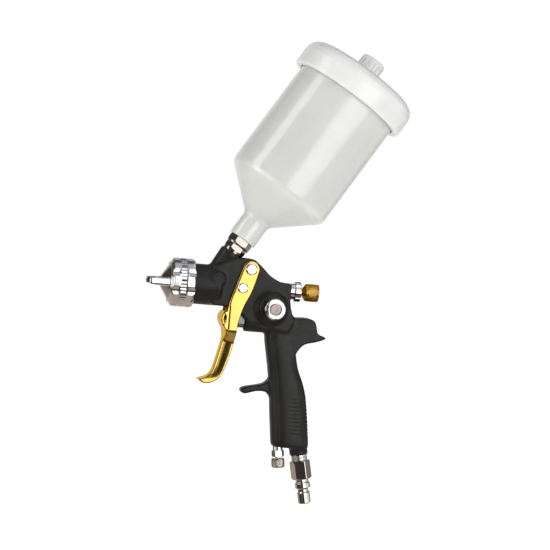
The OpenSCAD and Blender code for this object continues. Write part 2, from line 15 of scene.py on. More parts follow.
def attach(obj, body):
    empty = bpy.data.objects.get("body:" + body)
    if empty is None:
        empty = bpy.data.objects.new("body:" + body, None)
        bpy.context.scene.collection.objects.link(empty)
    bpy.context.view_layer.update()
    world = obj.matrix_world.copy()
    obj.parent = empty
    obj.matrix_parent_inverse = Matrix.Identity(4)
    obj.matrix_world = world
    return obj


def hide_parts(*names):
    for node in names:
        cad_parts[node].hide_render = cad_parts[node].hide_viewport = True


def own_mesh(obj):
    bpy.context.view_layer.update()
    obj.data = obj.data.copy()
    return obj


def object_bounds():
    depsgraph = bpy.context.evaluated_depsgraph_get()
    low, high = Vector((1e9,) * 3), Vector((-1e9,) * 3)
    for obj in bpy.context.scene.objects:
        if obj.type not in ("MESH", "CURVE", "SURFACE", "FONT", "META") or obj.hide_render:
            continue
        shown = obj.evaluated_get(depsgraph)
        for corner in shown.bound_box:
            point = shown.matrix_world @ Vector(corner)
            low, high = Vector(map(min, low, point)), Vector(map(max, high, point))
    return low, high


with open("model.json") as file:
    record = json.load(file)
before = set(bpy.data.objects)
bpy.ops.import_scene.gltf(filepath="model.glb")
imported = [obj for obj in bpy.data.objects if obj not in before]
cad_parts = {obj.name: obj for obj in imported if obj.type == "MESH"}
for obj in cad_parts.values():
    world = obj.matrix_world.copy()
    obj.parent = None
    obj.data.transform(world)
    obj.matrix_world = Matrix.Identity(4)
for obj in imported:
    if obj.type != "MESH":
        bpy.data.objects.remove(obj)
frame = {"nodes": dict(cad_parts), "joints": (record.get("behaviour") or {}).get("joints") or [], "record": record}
cad_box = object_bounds()

MM = 0.001
JOINTS = {j["name"]: j for j in frame["joints"]}
INLET = frame["record"]["mounts"][0]


# ---- Places, worked out from the frame ----------------------------------------------------

def frame_along(origin, axis):
    """Local millimetres to frame metres: local +Z runs along axis, local +Y stays near the frame's Y."""
    z = Vector(axis).normalized()
    side = Vector((0, 1, 0)) if abs(z.y) < 0.9 else Vector((1, 0, 0))
    x = side.cross(z).normalized()
    y = z.cross(x)
    turn = Matrix((x, y, z)).transposed().to_4x4()
    return Matrix.Translation(origin) @ turn @ Matrix.Scale(MM, 4)


PIVOT = Vector(JOINTS["trigger_pull"]["pos_m"])
SPRAY_Z = JOINTS["fluid_knob_turn"]["pos_m"][2]
PIVOT_X = 5
G = Vector((PIVOT.x - PIVOT_X * MM, 0, SPRAY_Z))
DESIGN = Matrix.Translation(G) @ Matrix.Scale(MM, 4)
SPRAY = frame_along(G, (1, 0, 0))

FEED_X = -25.7
CUP = frame_along(G + Vector((FEED_X * MM, 0, 0)), JOINTS["cup_turn"]["axis"])
FAN = frame_along(Vector((JOINTS["fan_knob_turn"]["pos_m"][0], 0, JOINTS["fan_knob_turn"]["pos_m"][2])),
                  JOINTS["fan_knob_turn"]["axis"])
REGULATOR_KNOB_AT = 11
REGULATOR = frame_along(Vector(JOINTS["regulator_knob_turn"]["pos_m"])
                        - Vector(JOINTS["regulator_knob_turn"]["axis"]) * REGULATOR_KNOB_AT * MM,
                        JOINTS["regulator_knob_turn"]["axis"])
PLUG_LENGTH = 37.8
PLUG = frame_along(Vector(INLET["pos_m"]) - Vector(INLET["axis"]) * PLUG_LENGTH * MM, INLET["axis"])

NEAR = (0, -1, 0)
FAR = (0, 1, 0)


def design_point(x, y, z):
    return G + Vector((x, y, z)) * MM


VALVE = frame_along(design_point(0, 0, -25), (1, 0, 0))


# ---- Mesh helpers -------------------------------------------------------------------------

def make_object(name, verts, faces, matrix, sharp_deg=38):
    """A shaded mesh object with its vertices put through matrix, so that it sits at the origin."""
    mesh = bpy.data.meshes.new(name)
    mesh.from_pydata([tuple(v) for v in verts], [], faces)
    mesh.transform(matrix)
    mesh.update()
    tidy = bmesh.new()
    tidy.from_mesh(mesh)
    bmesh.ops.recalc_face_normals(tidy, faces=tidy.faces)
    tidy.to_mesh(mesh)
    tidy.free()
    mesh.shade_smooth()
    mesh.set_sharp_from_angle(angle=math.radians(sharp_deg))
    piece = bpy.data.objects.new(name, mesh)
    bpy.context.scene.collection.objects.link(piece)
    return piece


ARC_STEPS = 4


def rounded(profile, closed):
    """Profile points are (z, r) or (z, r, fillet). Each corner with a fillet becomes a short arc."""
    out = []
    count = len(profile)
    for i, corner in enumerate(profile):
        p = Vector(corner[:2])
        fillet = corner[2] if len(corner) > 2 else 0
        if not fillet or (not closed and i in (0, count - 1)):
            out.append(p)
            continue
        a = Vector(profile[i - 1][:2]) - p
        b = Vector(profile[(i + 1) % count][:2]) - p
        half = a.angle(b) / 2
        back = min(fillet / math.tan(half), 0.45 * a.length, 0.45 * b.length)
        start, end = p + a.normalized() * back, p + b.normalized() * back
        for k in range(ARC_STEPS + 1):
            t = k / ARC_STEPS
            out.append((1 - t) ** 2 * start + 2 * t * (1 - t) * p + t ** 2 * end)
    return out


def subdivide(points, longest, closed):
    """Adds points so that no step is longer than `longest`."""
    out = []
    ends = len(points) if closed else len(points) - 1
    for i in range(ends):
        a, b = points[i], points[(i + 1) % len(points)]
        n = max(1, math.ceil((b - a).length / longest))
        out += [a.lerp(b, k / n) for k in range(n)]
    return out if closed else out + [points[-1]]


def turned(name, profile, matrix, closed=False, around=96, shape=None, longest=None, sharp_deg=38):
    """A solid of revolution about local +Z. `shape(angle, z, r)` may change the radius, as for flats."""
    line = rounded(profile, closed)
    if longest:
        line = subdivide(line, longest, closed)
    verts, rings = [], []
    for p in line:
        z, r = p
        if r < 1e-6:
            rings.append([len(verts)])
            verts.append((0, 0, z))
            continue
        ring = []
        for k in range(around):
            a = 2 * math.pi * k / around
            radius = shape(a, z, r) if shape else r
            ring.append(len(verts))
            verts.append((radius * math.cos(a), radius * math.sin(a), z))
        rings.append(ring)
    faces = []
    pairs = list(zip(rings, rings[1:])) + ([(rings[-1], rings[0])] if closed else [])
    for low, high in pairs:
        for k in range(around):
            n = (k + 1) % around
            quad = [low[k % len(low)], low[n % len(low)], high[n % len(high)], high[k % len(high)]]
            face = list(dict.fromkeys(quad))
            if len(face) > 2:
                faces.append(face)
    return make_object(name, verts, faces, matrix, sharp_deg)


def flats(sides, across, turn_deg=0.0, z0=-math.inf, z1=math.inf):
    """Cuts a turned shape, between z0 and z1, to a prism with that many sides and width across flats."""
    pitch = 2 * math.pi / sides

    def shape(a, z, r):
        off = (a - math.radians(turn_deg) + pitch / 2) % pitch - pitch / 2
        return min(r, across / 2 / math.cos(off)) if z0 < z < z1 else r
    return shape


def flutes(count, depth, width_deg, z0, z1, run_out=0.8):
    """Cuts round-bottomed grooves along a turned shape between z0 and z1, fading out at their ends."""
    pitch = 2 * math.pi / count

    def shape(a, z, r):
        off = (a + pitch / 2) % pitch - pitch / 2
        across = max(0.0, 1 - (off / math.radians(width_deg / 2)) ** 2)
        along = min(1.0, max(0.0, min(z - z0, z1 - z) / run_out))
        return r - depth * across * math.sqrt(along) if r > depth else r
    return shape


def welded_copy(node):
    """A new object with a CAD node's mesh, its split corners joined."""
    mesh = frame["nodes"][node].data.copy()
    work = bmesh.new()
    work.from_mesh(mesh)
    bmesh.ops.remove_doubles(work, verts=work.verts, dist=2e-6)
    work.to_mesh(mesh)
    work.free()
    copy = bpy.data.objects.new(node + "_copy", mesh)
    bpy.context.scene.collection.objects.link(copy)
    return copy


def remeshed(source, name, voxel_mm):
    """A new object from an even mesh of small quads over the source, which is removed."""
    modifier = source.modifiers.new("even", "REMESH")
    modifier.mode = "VOXEL"
    modifier.voxel_size = voxel_mm * MM
    modifier.adaptivity = 0
    depsgraph = bpy.context.evaluated_depsgraph_get()
    mesh = bpy.data.meshes.new_from_object(source.evaluated_get(depsgraph))
    bpy.data.objects.remove(source)
    mesh.name = name
    mesh.materials.clear()
    mesh.shade_smooth()
    piece = bpy.data.objects.new(name, mesh)
    bpy.context.scene.collection.objects.link(piece)
    return piece


def coordinates(piece):
    """Vertex positions in design millimetres."""
    co = np.zeros(len(piece.data.vertices) * 3, np.float32)
    piece.data.vertices.foreach_get("co", co)
    return (co.reshape(-1, 3).astype(float) - np.array(G)) / MM


def put_coordinates(piece, points):
    co = points * MM + np.array(G)
    piece.data.vertices.foreach_set("co", co.astype(np.float32).ravel())
    piece.data.update()


def vertex_normals(piece):
    no = np.zeros(len(piece.data.vertices) * 3, np.float32)
    piece.data.vertices.foreach_get("normal", no)
    return no.reshape(-1, 3).astype(float)


def neighbour_means(points, edges):
    """For every point, the mean of the points that an edge joins to it."""
    count = len(points)
    degree = np.maximum(np.bincount(edges.ravel(), minlength=count), 1)[:, None]
    total = np.zeros_like(points)
    for axis in range(3):
        total[:, axis] = (np.bincount(edges[:, 0], points[edges[:, 1], axis], count)
                          + np.bincount(edges[:, 1], points[edges[:, 0], axis], count))
    return total / degree


def smoothed(points, edges, weight, passes):
    """Moves every point towards the mean of its neighbours, as far as its weight lets it."""
    pull = (0.5 * weight)[:, None]
    for _ in range(passes):
        points = points + pull * (neighbour_means(points, edges) - points)
    return points


def mesh_edges(piece):
    edges = np.zeros(len(piece.data.edges) * 2, np.int64)
    piece.data.edges.foreach_get("vertices", edges)
    return edges.reshape(-1, 2)


def step(value, low, high):
    """0 below low, 1 above high and smooth between, for numbers and arrays. low may be above high."""
    t = np.clip((value - low) / (high - low), 0, 1)
    return t * t * (3 - 2 * t)


def place(piece, body, material, *stands_for, slot=None):
    """Finishes a piece: its material, the body it rides on and the CAD nodes that it stands for."""
    piece.data.materials.clear()
    piece.data.materials.append(material)
    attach(piece, body)
    if stands_for:
        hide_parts(*stands_for)
    return piece


# ---- Materials ----------------------------------------------------------------------------

class Shader:
    """A small helper round one node tree, with object coordinates in millimetres."""

    def __init__(self, name):
        self.material = bpy.data.materials.new(name)
        self.material.use_nodes = True
        self.tree = self.material.node_tree
        self.surface = self.tree.nodes["Principled BSDF"]
        where = self.tree.nodes.new("ShaderNodeTexCoord")
        scale = self.tree.nodes.new("ShaderNodeMapping")
        scale.inputs["Scale"].default_value = (1 / MM, 1 / MM, 1 / MM)
        self.link(where.outputs["Object"], scale.inputs["Vector"])
        self.where = scale.outputs["Vector"]

    def link(self, a, b):
        self.tree.links.new(a, b)

    def set(self, **values):
        for key, value in values.items():
            self.surface.inputs[key.replace("_", " ")].default_value = value

    def noise(self, per_mm, detail=3.0, rough=0.55, stretch=(1, 1, 1)):
        node = self.tree.nodes.new("ShaderNodeTexNoise")
        node.inputs["Scale"].default_value = per_mm
        node.inputs["Detail"].default_value = detail
        node.inputs["Roughness"].default_value = rough
        source = self.where
        if stretch != (1, 1, 1):
            mapping = self.tree.nodes.new("ShaderNodeMapping")
            mapping.inputs["Scale"].default_value = stretch
            self.link(self.where, mapping.inputs["Vector"])
            source = mapping.outputs["Vector"]
        self.link(source, node.inputs["Vector"])
        return node.outputs["Fac"]

    def ramp(self, value, stops):
        node = self.tree.nodes.new("ShaderNodeValToRGB")
        ramp = node.color_ramp
        while len(ramp.elements) < len(stops):
            ramp.elements.new(0.5)
        for element, (at, colour) in zip(ramp.elements, stops):
            element.position = at
            element.color = (*colour, 1)
        self.link(value, node.inputs["Fac"])
        return node.outputs["Color"]

    def span(self, value, low, high):
        """Stretches noise, which lies mostly between 0.3 and 0.7, over low to high."""
        node = self.tree.nodes.new("ShaderNodeMapRange")
        node.inputs["From Min"].default_value = 0.3
        node.inputs["From Max"].default_value = 0.7
        node.inputs["To Min"].default_value = low
        node.inputs["To Max"].default_value = high
        self.link(value, node.inputs["Value"])
        return node.outputs["Result"]

    def colour(self, value):
        self.link(value, self.surface.inputs["Base Color"])

    def roughness(self, value):
        self.link(value, self.surface.inputs["Roughness"])

    def bump(self, value, height_mm):
        """Adds a bump on top of those that the surface has already."""
        node = self.tree.nodes.new("ShaderNodeBump")
        node.inputs["Strength"].default_value = 1.0
        node.inputs["Distance"].default_value = height_mm * MM
        self.link(value, node.inputs["Height"])
        if self.surface.inputs["Normal"].is_linked:
            self.link(self.surface.inputs["Normal"].links[0].from_socket, node.inputs["Normal"])
        self.link(node.outputs["Normal"], self.surface.inputs["Normal"])


def grey(v):
    return (v, v, v)


def tint(colour, factor):
    return tuple(min(1.0, c * factor) for c in colour)


def metal(name, colour, rough, spread=0.06, uneven=0.06, brushed=None, edge=(1, 1, 1)):
    """Plated or turned metal: faint patches of colour and polish, and fine scratches."""
    s = Shader(name)
    s.set(Metallic=1.0, Specular_Tint=(*edge, 1))
    patches = s.noise(0.12, 4)
    s.colour(s.ramp(patches, [(0.3, tint(colour, 1 - uneven)), (0.7, tint(colour, 1 + uneven))]))
    s.roughness(s.span(s.noise(0.35, 5), max(0.02, rough - spread), rough + spread))
    s.bump(s.noise(2.2, 6, 0.7, brushed or (1, 1, 1)), 0.004 if not brushed else 0.012)
    return s.material


def body_black():
    """Satin black coating over a forging, with a fine orange peel and slightly rubbed patches."""
    s = Shader("black_coat")
    cloud = s.noise(0.045, 5)
    s.colour(s.ramp(cloud, [(0.32, (0.0085, 0.008, 0.0075)), (0.68, (0.014, 0.0135, 0.013))]))
    s.roughness(s.span(s.noise(0.2, 5), 0.38, 0.50))
    s.set(Coat_Weight=0.05, Coat_Roughness=0.28, IOR=1.40)
    s.bump(s.noise(1.6, 3, 0.6), 0.035)
    s.bump(s.noise(5.0, 2, 0.5), 0.012)
    return s.material


def milky(name, light, dark, rough, deep_mm, gloss):
    """Milky moulded plastic: light scatters in its wall, and its gloss bends over faint waves."""
    s = Shader(name)
    s.colour(s.ramp(s.noise(0.03, 4), [(0.35, dark), (0.65, light)]))
    deep = deep_mm * MM
    s.set(Roughness=rough, Subsurface_Weight=0.6, Subsurface_Radius=(deep, 0.95 * deep, 0.85 * deep),
          Subsurface_Scale=1.0, IOR=1.5)
    s.set(Coat_Weight=gloss, Coat_Roughness=0.14, Coat_IOR=2.0)
    s.bump(s.noise(0.03, 2, 0.4), 0.1)
    return s.material


def rubber():
    s = Shader("black_rubber_and_hole_shade")
    s.colour(s.ramp(s.noise(0.3, 4), [(0.3, grey(0.012)), (0.7, grey(0.022))]))
    s.roughness(s.span(s.noise(0.6, 4), 0.6, 0.8))
    s.bump(s.noise(3, 4), 0.02)
    return s.material


def ptfe():
    s = Shader("white_ptfe")
    s.colour(s.ramp(s.noise(0.2, 3), [(0.3, (0.86, 0.86, 0.83)), (0.7, (0.93, 0.93, 0.91))]))
    s.roughness(s.span(s.noise(0.5, 3), 0.45, 0.6))
    s.set(Subsurface_Weight=0.3, Subsurface_Radius=(2 * MM, 2 * MM, 2 * MM))
    s.bump(s.noise(2, 3), 0.01)
    return s.material


BODY = body_black()
CHROME = metal("chrome_plate", (0.80, 0.80, 0.81), 0.09)
GOLD = metal("gold_plate", (0.74, 0.50, 0.125), 0.19, uneven=0.05, edge=(1.0, 0.78, 0.32))
BRONZE = metal("knob_gold", (0.66, 0.38, 0.09), 0.30, uneven=0.05, edge=(0.8, 0.5, 0.2))
NICKEL = metal("nickel", (0.74, 0.69, 0.63), 0.08, spread=0.03)
# A darker, warmer copy of the chrome: painted shade and painted reflection on chrome parts.
SHADED_CHROME = metal("shaded_chrome_paint", (0.46, 0.42, 0.385), 0.13)
SATIN = metal("satin_nickel", (0.80, 0.77, 0.72), 0.36)
SCREW = metal("screw_steel", (0.34, 0.29, 0.26), 0.30)
STAINLESS = metal("stainless_steel", (0.62, 0.61, 0.59), 0.22, brushed=(1, 6, 6))
BRASS = metal("plain_brass", (0.72, 0.56, 0.28), 0.28)
GUNMETAL = metal("dark_steel", (0.16, 0.16, 0.165), 0.18)
WIRE = metal("spring_wire", (0.45, 0.45, 0.44), 0.28)
CUP_PLASTIC = milky("milky_cup", (0.70, 0.705, 0.67), (0.66, 0.665, 0.625), 0.30, 6, 0.5)
LID_PLASTIC = milky("white_lid", (0.79, 0.79, 0.775), (0.75, 0.75, 0.73), 0.36, 4, 0.25)
# Black rubber for the rubber parts; the same black also paints the shade in the air cap's holes.
RUBBER_AND_HOLE_SHADE = rubber()
PTFE = ptfe()
MATERIAL_OF_SLOT = {"body_black": BODY, "chrome": CHROME, "gold": GOLD, "stainless": STAINLESS,
                    "brass": BRASS, "gunmetal": GUNMETAL, "spring_steel": WIRE,
                    "cup_plastic": CUP_PLASTIC, "lid_plastic": LID_PLASTIC,
                    "rubber": RUBBER_AND_HOLE_SHADE, "ptfe": PTFE}


# ---- Stage --------------------------------------------------------------------------------

FLOOR_RADIUS = 9
FLOOR_GAP = 0.02


def stage_floor():
    """A wide pale disc below the plug, lit evenly so that it runs into the white surround."""
    ring = 96
    turns = [2 * math.pi * k / ring for k in range(ring)]
    verts = [(FLOOR_RADIUS * math.cos(a), FLOOR_RADIUS * math.sin(a), 0) for a in turns]
    floor = make_object("floor", verts, [list(range(ring))],
                        Matrix.Translation((G.x, 0, cad_box[0].z - FLOOR_GAP)))
    s = Shader("floor_paint")
    s.colour(s.ramp(s.noise(0.002, 2), [(0.3, grey(0.28)), (0.7, grey(0.30))]))
    s.set(Roughness=0.9, Specular_IOR_Level=0.0, Emission_Color=(1, 1, 1, 1), Emission_Strength=0.95)
    floor.data.materials.append(s.material)
    floor.visible_glossy = False


# What each part of the room sends out, for contrast on the metal. The front half has a white band at
# the gun's height with a dark gap in it, dim walls, a pale ceiling and a floor that is dark far off.
BAND_WHITE = (0.90, 0.88, 0.85)
GAP_DARK = (0.04, 0.04, 0.04)
WALLS = (0.08, 0.075, 0.07)
CEILING = (0.46, 0.49, 0.53)
FLOOR_EDGE = (0.05, 0.048, 0.05)
FLOOR_NEAR = (0.42, 0.37, 0.33)
# The rear half is dark at the sides, lighter low down there, and light straight behind the gun.
SIDES = (0.085, 0.075, 0.065)
SIDES_LOW = (0.46, 0.41, 0.37)
BEHIND = (0.75, 0.74, 0.72)
GAP_TOWARDS = (-0.29, -0.957, 0)


def surround():
    """White to the camera, and to everything else a room of light and dark parts."""
    world = bpy.data.worlds.new("studio")
    bpy.context.scene.world = world
    world.use_nodes = True
    world.node_tree.nodes.clear()
    add = world.node_tree.nodes.new
    link = world.node_tree.links.new
    way = add("ShaderNodeTexCoord").outputs["Generated"]
    split = add("ShaderNodeSeparateXYZ")
    link(way, split.inputs["Vector"])
    rearward, upward = split.outputs["Y"], split.outputs["Z"]

    def between(value, low, high):
        node = add("ShaderNodeMapRange")
        node.interpolation_type = "SMOOTHSTEP"
        node.inputs["From Min"].default_value = low
        node.inputs["From Max"].default_value = high
        link(value, node.inputs["Value"])
        return node.outputs["Result"]

    def blended(factor, first, second):
        node = add("ShaderNodeMix")
        node.data_type = "RGBA"
        link(factor, node.inputs["Factor"])
        for socket, value in ((node.inputs[6], first), (node.inputs[7], second)):
            if isinstance(value, tuple):
                socket.default_value = (*value, 1)
            else:
                link(value, socket)
        return node.outputs[2]

    gap = add("ShaderNodeVectorMath")
    gap.operation = "DOT_PRODUCT"
    link(way, gap.inputs[0])
    gap.inputs[1].default_value = GAP_TOWARDS
    band = blended(between(gap.outputs["Value"], 0.90, 0.955), BAND_WHITE, GAP_DARK)
    walls = blended(between(upward, 0.14, 0.28), band, WALLS)
    upper = blended(between(upward, 0.72, 0.90), walls, CEILING)
    below = blended(between(upward, -0.95, -0.55), FLOOR_NEAR, FLOOR_EDGE)
    front_half = blended(between(upward, -0.30, -0.18), below, upper)
    side_walls = blended(between(upward, -0.32, -0.22), SIDES_LOW, SIDES)
    sides = blended(between(rearward, 0.1, 0.4), front_half, side_walls)
    room = add("ShaderNodeBackground")
    link(blended(between(rearward, 0.72, 0.92), sides, BEHIND), room.inputs["Color"])
    seen = add("ShaderNodeBackground")
    seen.inputs["Color"].default_value = (1, 1, 1, 1)
    mix = add("ShaderNodeMixShader")
    link(add("ShaderNodeLightPath").outputs["Is Camera Ray"], mix.inputs["Fac"])
    link(room.outputs["Background"], mix.inputs[1])
    link(seen.outputs["Background"], mix.inputs[2])
    link(mix.outputs["Shader"], add("ShaderNodeOutputWorld").inputs["Surface"])


AIM_ABOVE_SPRAY = 0.02


def outward(azimuth, elevation):
    """A direction away from the gun. Azimuth is 0 in front of its near side and grows to the rear."""
    return Vector((math.sin(azimuth) * math.cos(elevation), -math.cos(azimuth) * math.cos(elevation),
                   math.sin(elevation)))


def softbox(name, azimuth_deg, elevation_deg, distance, width, height, radiance, glossy=True):
    """An area light aimed at the gun, at that distance in metres."""
    out = outward(math.radians(azimuth_deg), math.radians(elevation_deg))
    data = bpy.data.lights.new(name, "AREA")
    data.shape = "RECTANGLE"
    data.size, data.size_y = width, height
    data.energy = radiance * math.pi * width * height
    lamp = bpy.data.objects.new(name, data)
    lamp.location = G + Vector((0, 0, AIM_ABOVE_SPRAY)) + out * distance
    lamp.rotation_mode = "QUATERNION"
    lamp.rotation_quaternion = out.to_track_quat("Z", "Y")
    lamp.visible_glossy = glossy
    bpy.context.scene.collection.objects.link(lamp)


def lights():
    """Two softboxes that show in the metal, and four fills that do not."""
    softbox("key", 24, 14, 1.5, 1.2, 1.7, 1.4)
    softbox("edge", -78, 20, 1.5, 0.55, 1.5, 2.1)
    softbox("front_fill", -9, 12, 1.6, 1.0, 1.0, 1.45, glossy=False)
    softbox("left_fill", -85, 35, 1.6, 1.1, 1.1, 0.8, glossy=False)
    softbox("top_fill", 60, 75, 1.6, 1.1, 1.1, 0.7, glossy=False)
    softbox("back_fill", 170, 25, 1.7, 1.2, 1.2, 0.8, glossy=False)


EYE_AZIMUTH, EYE_ELEVATION, EYE_ROLL = math.radians(-9.5), math.radians(1.5), math.radians(5)
EYE_DISTANCE = 1.9
VIEW_WIDTH_MM = 429
# From G to the middle of the picture, in millimetres at the gun
VIEW_RIGHT_MM, VIEW_UP_MM = 26.676, 9.594


def camera():
    """The photograph's view: a little to the nose's side and almost level, rolled by 5 degrees."""
    back = outward(EYE_AZIMUTH, EYE_ELEVATION)
    level = Vector((math.cos(EYE_AZIMUTH), math.sin(EYE_AZIMUTH), 0))
    up = back.cross(level)
    right = math.cos(EYE_ROLL) * level + math.sin(EYE_ROLL) * up
    top = back.cross(right)
    data = bpy.data.cameras.new("camera")
    data.lens = data.sensor_width * EYE_DISTANCE / (VIEW_WIDTH_MM * MM)
    data.clip_start = 0.05
    data.clip_end = 60
    eye = bpy.data.objects.new("camera", data)
    eye.matrix_world = Matrix((right, top, back)).transposed().to_4x4()
    eye.location = G + back * EYE_DISTANCE + (right * VIEW_RIGHT_MM + top * VIEW_UP_MM) * MM
    bpy.context.scene.collection.objects.link(eye)
    bpy.context.scene.camera = eye


bpy.context.scene.view_settings.view_transform = "Standard"
camera()
stage_floor()
surround()
lights()

slots = {row["node"]: row["material_slot"] for row in frame["record"]["subparts"]}
for node, thing in frame["nodes"].items():
    thing.data.materials.clear()
    thing.data.materials.append(MATERIAL_OF_SLOT[slots[node]])

# ---- Pieces -------------------------------------------------------------------------------

# Points (z, x) down the front of the handle
GRIP_FRONT = [(-36, 21.9), (-60, 26.4), (-84, 29.9), (-119, 34.1)]
# The turned faces of the body's nose and tail lie beyond these
NOSE_FACE_X = -37.2
TAIL_FACE_X = 37.2
EASE_PASSES = 8
FILLET_PASSES = 34


def ease_edges(piece, edges):
    """Rounds every edge a little, and hardly at all at the turned faces of the nose and the tail."""
    points = coordinates(piece)
    x, _, z = points.T
    nose = np.where(x < NOSE_FACE_X, 0.15, 1.0)
    tail = np.where((x > TAIL_FACE_X) & (z > -12), 0.3, 1.0)
    put_coordinates(piece, smoothed(points, edges, nose * tail, EASE_PASSES))


def fill_corners(piece, edges):
    """Fillets the inside corners: where the surface is hollow, it is smoothed much more."""
    points = coordinates(piece)
    hollow = np.sum((neighbour_means(points, edges) - points) * vertex_normals(piece), axis=1)
    corner = smoothed(np.repeat(step(hollow, 0.004, 0.03)[:, None], 3, axis=1), edges,
                      np.ones(len(points)), 6)[:, 0]
    weight = np.clip(3 * corner, 0, 1) * (points[:, 0] > NOSE_FACE_X)
    put_coordinates(piece, smoothed(points, edges, weight, FILLET_PASSES))


def body():
    """The forging: an even mesh of the CAD body, with a seam and ribs cut into the handle's sides."""
    seam_behind_front, groove_half_width, groove_depth = 5, 0.9, 0.5
    rib_pitch, rib_depth = 3, 0.32
    piece = remeshed(welded_copy("gun_body"), "body", 0.62)
    edges = mesh_edges(piece)
    ease_edges(piece, edges)
    fill_corners(piece, edges)
    points = coordinates(piece)
    x, y, z = points.T
    heights, fronts = zip(*reversed(GRIP_FRONT))
    seam = np.interp(z, heights, fronts) + seam_behind_front
    flank = step(np.abs(y), 6, 8.5) * step(z, -37, -40) * step(z, -118, -115)
    groove = np.clip(1 - ((x - seam) / groove_half_width) ** 2, 0, 1) * groove_depth
    rib = 0.5 + 0.5 * np.cos(2 * math.pi * z / rib_pitch)
    back = step(x - seam, 6, 14) * step(z, -82, -85) * step(z, -114, -111)
    points[:, 1] -= np.sign(y) * flank * groove
    put_coordinates(piece, points)
    points -= vertex_normals(piece) * (rib_depth * rib * back)[:, None]
    put_coordinates(piece, points)
    return place(piece, "gun", BODY, "gun_body")


def badge():
    """A plain round badge of concentric rings on the near side of the barrel."""
    piece = turned("badge", [(14.6, 5.0), (15.5, 5.0, 0.2), (15.7, 4.6), (15.7, 4.2), (15.45, 4.0),
                             (15.45, 3.3), (15.65, 3.1), (15.65, 2.5), (15.45, 2.3), (15.5, 0)],
                   frame_along(design_point(-19.9, 0, 5.7), NEAR), around=64, sharp_deg=25)
    return place(piece, "gun", BODY)


# Points (z, x) down the front of the trigger
TRIGGER_FACE = [(-33, -11.4), (-37.5, -10.9), (-44, -12.2), (-53, -14.2), (-62.5, -16.4),
                (-67.2, -18.2), (-71, -22), (-73.4, -28.4)]


def trigger():
    """The pressed plate: its channel flares up into the bracket, and its front corners are rounded."""
    channel_deep, channel_top, most_flare, most_rounding = 9.5, -33.1, 0.66, 0.42
    source = remeshed(welded_copy("trigger"), "trigger_blank", 0.45)
    points = coordinates(source)
    x, y, z = points.T
    heights, fronts = zip(*reversed(TRIGGER_FACE))
    behind = np.clip((x - np.interp(z, heights, fronts)) / channel_deep, 0, 1)
    channel = (z < channel_top) & (np.abs(y) < 9.6)
    flare = 1 + most_flare * step(z, -44, -33.6) * channel
    arc = 1 - np.sqrt(1 - (1 - behind) ** 2)
    round_off = arc * most_rounding * step(z, -34, -42) * step(z, -73, -69)
    points[:, 1] *= flare * (1 - round_off)
    put_coordinates(source, points)
    piece = remeshed(source, "trigger_plate", 0.36)
    points = coordinates(piece)
    points = smoothed(points, mesh_edges(piece), np.full(len(points), 0.8), 12)
    put_coordinates(piece, points)
    return place(piece, "trigger", GOLD, "trigger")


def air_cap_ring():
    """The ring that holds the air cap: two rows of eight scallops and a knurled band between them."""
    notch_r, notch_at, notch_step, first_notch = 4.8, 22.2, math.pi / 4, math.radians(18)
    rows = [(-58.0, -50.6), (-43.2, -36.6)]
    band, knurls, knurl_depth = (-49.6, -44.2), 48, 0.34
    wall_r = 17

    def shape(a, z, r):
        if r < wall_r:
            return r
        off = (a - first_notch + notch_step / 2) % notch_step - notch_step / 2
        inside = notch_r ** 2 - (notch_at * math.sin(off)) ** 2
        if inside > 0 and any(low < z < high for low, high in rows):
            r = min(r, notch_at * math.cos(off) - math.sqrt(inside))
        if band[0] < z < band[1]:
            fade = min(1, (z - band[0]) / 0.5, (band[1] - z) / 0.5)
            r -= knurl_depth * fade * (0.5 - 0.5 * math.cos(knurls * a)) ** 0.7
        return r
    piece = turned("cap_ring", [
        (-55, 15.1), (-57, 15.1), (-57, 15.8, 0.3), (-55, 18.2, 0.4), (-54.4, 18.9, 0.3),
        (-50, 19, 0.3), (-49.9, 18.8), (-43.9, 18.8), (-43.8, 19), (-40, 19), (-38.5, 18.5, 0.4),
        (-37.7, 17.6, 0.3), (-37.7, 16.1), (-55, 16.3)
    ], SPRAY, closed=True, around=384, shape=shape, longest=0.4, sharp_deg=32)
    return place(piece, "cap_ring", CHROME, "air_cap_ring")


def lofted(name, stations, matrix):
    """A closed loft along X through (x, inner y, outer y, half height) stations of rounded sections."""
    sides, squareness = 32, 3.6
    corner = 2 / squareness
    verts, faces = [], []
    for x, inner, outer, half in stations:
        for k in range(sides):
            a = 2 * math.pi * k / sides
            c, d = math.cos(a), math.sin(a)
            y = (inner + outer) / 2 + (outer - inner) / 2 * math.copysign(abs(c) ** corner, c)
            verts.append((x, y, half * math.copysign(abs(d) ** corner, d)))
    for i in range(len(stations) - 1):
        for k in range(sides):
            n = (k + 1) % sides
            faces.append([i * sides + k, i * sides + n, (i + 1) * sides + n, (i + 1) * sides + k])
    faces += [list(range(sides)), [(len(stations) - 1) * sides + k for k in range(sides)]]
    return make_object(name, verts, faces, matrix)


def air_cap():
    """The cap's face with its flange, and what stands on it at either side."""
    face = turned("cap_face", [
        (-60.3, 2.9), (-63, 2.9, 0.3), (-63, 4.6, 0.4), (-62.3, 5.8, 0.4), (-56.9, 14.4, 0.6),
        (-56, 14.9, 0.2), (-54.9, 14.9), (-54.9, 16), (-51.8, 16), (-51.8, 14.5), (-49.22, 14.5),
        (-49.22, 12.4), (-53.6, 12.4), (-60.3, 5)
    ], SPRAY, closed=True, around=160, longest=0.8)
    # The cap's face is chrome; its darker, warmer metal colour is a painted reflection.
    place(face, "air_cap", SHADED_CHROME, "air_cap", slot="chrome")
    for side, sign in (("near", -1), ("far", 1)):
        horn(side, sign)


